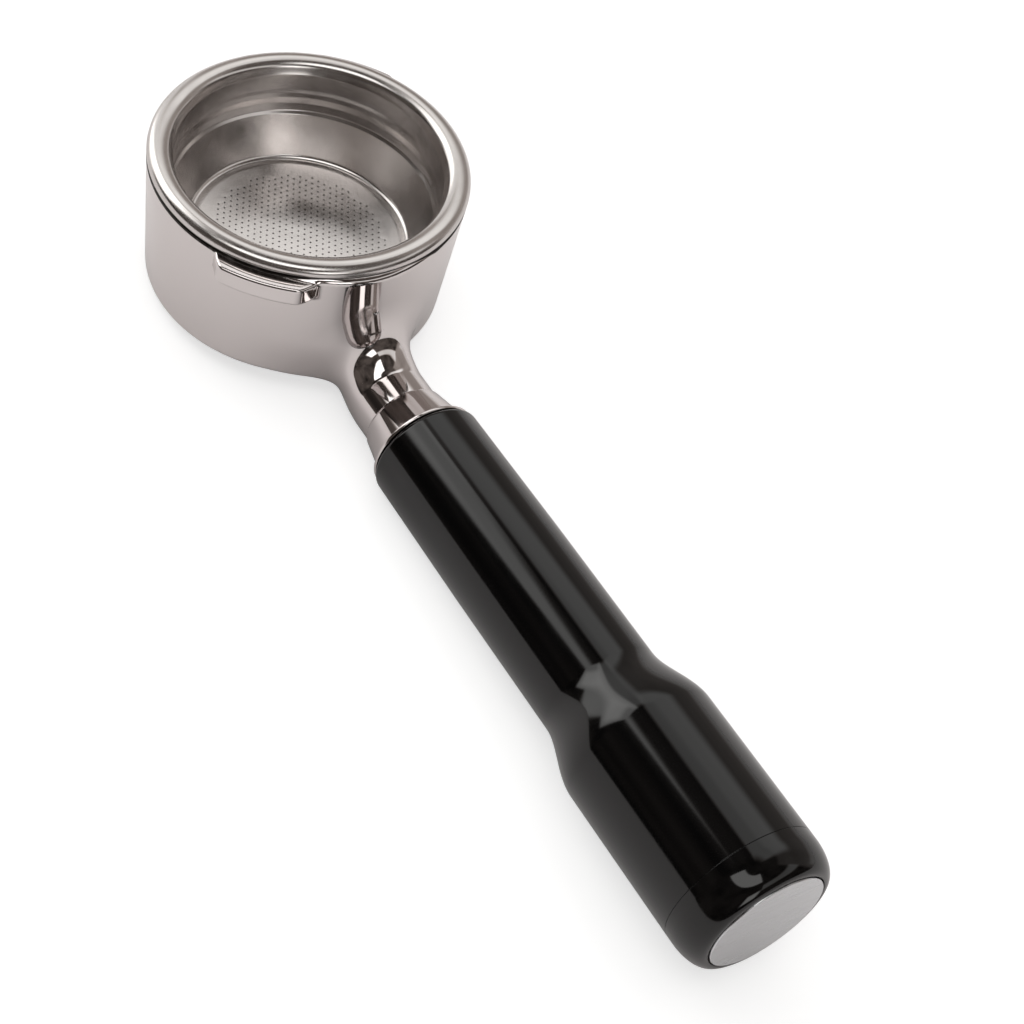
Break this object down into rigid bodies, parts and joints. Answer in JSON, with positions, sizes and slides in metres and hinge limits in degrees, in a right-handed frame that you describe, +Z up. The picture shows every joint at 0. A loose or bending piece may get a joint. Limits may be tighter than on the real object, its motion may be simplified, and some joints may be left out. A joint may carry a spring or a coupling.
{
  "type": "portafilter",
  "caption": "Bottomless espresso portafilter: chromed cup with bayonet lugs and a gooseneck, a lift-out perforated filter basket, and a black handle with a metal end disc.",
  "frame": {"origin": "on the cup's axis, at the centre of the top face of the filter basket's floor", "axes": "+Z up along the cup's axis towards the group head; the handle runs along -Y; +X completes a right-handed frame"},
  "size_m": [0.0706, 0.2217, 0.0507],
  "materials": {
    "chrome": "polished chrome plate on forged brass",
    "satin_steel": "satin pressed stainless steel",
    "zinc_steel": "plain zinc-plated steel",
    "black_plastic": "glossy black moulded plastic",
    "rubber": "matt black",
    "satin_aluminium": "satin"
  },
  "bodies": {
    "holder": {"portafilter_body": "chrome", "basket_spring": "zinc_steel", "neck_ring": "chrome", "front_seal": "rubber", "tie_rod": "zinc_steel", "handle_grip": "black_plastic", "rod_washer": "zinc_steel", "lock_washer": "zinc_steel", "rod_nut": "zinc_steel", "end_cap": "black_plastic", "end_disc": "satin_aluminium"},
    "basket": {"filter_basket": "satin_steel"}
  },
  "joints": [
    {"name": "basket_lift", "type": "slide", "parent": "holder", "child": "basket", "axis": [0, 0, 1], "range_m": [0, 0.04]}
  ]
}
